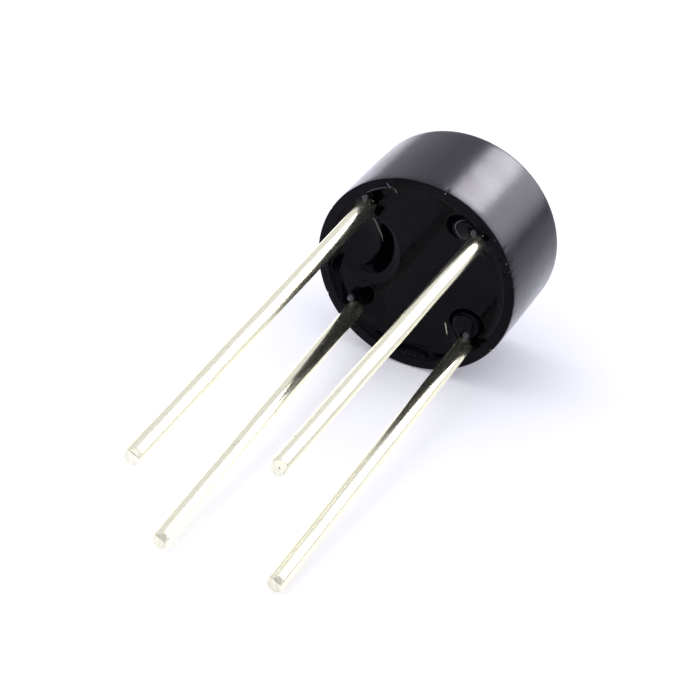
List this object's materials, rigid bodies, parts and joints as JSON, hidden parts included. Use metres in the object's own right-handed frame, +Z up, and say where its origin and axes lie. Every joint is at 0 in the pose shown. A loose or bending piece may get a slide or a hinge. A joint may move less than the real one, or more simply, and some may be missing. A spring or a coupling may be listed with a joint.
{
  "type": "bridge rectifier",
  "caption": "Round bridge rectifier: a black plastic cup filled with glossy resin, with tinned wire leads of which one is longer, lying on its side.",
  "frame": {"origin": "middle of the bounding box's underside, on the surface that the part lies on", "axes": "+Z up; +X from the lead tips towards the closed end, along the part's length (the body's own axis rises 4.5 degrees towards +X); +Y across, on the side of the plus lead"},
  "size_m": [0.0256, 0.009, 0.0093],
  "materials": {
    "case": "moulded black thermoset, satin, slightly worn at the rim",
    "resin": "cured black casting resin, glossy, wavy and drawn up round the leads",
    "tin": "bright tin plate on copper wire, faintly mottled",
    "silicon": "sawn and passivated silicon",
    "solder": "dull soft solder",
    "coating": "cured silicone coating, matt"
  },
  "bodies": {
    "root": {"case": "case", "potting": "resin", "lead_plus": "tin", "lead_minus": "tin", "lead_ac_1": "tin", "lead_ac_2": "tin", "die_plus_1": "silicon", "die_plus_2": "silicon", "die_minus_1": "silicon", "die_minus_2": "silicon", "solder_plus_1_upper": "solder", "solder_plus_1_lower": "solder", "solder_plus_2_upper": "solder", "solder_plus_2_lower": "solder", "solder_minus_1_upper": "solder", "solder_minus_1_lower": "solder", "solder_minus_2_upper": "solder", "solder_minus_2_lower": "solder", "coat_plus_1": "coating", "coat_plus_2": "coating", "coat_minus_1": "coating", "coat_minus_2": "coating"}
  },
  "joints": []
}
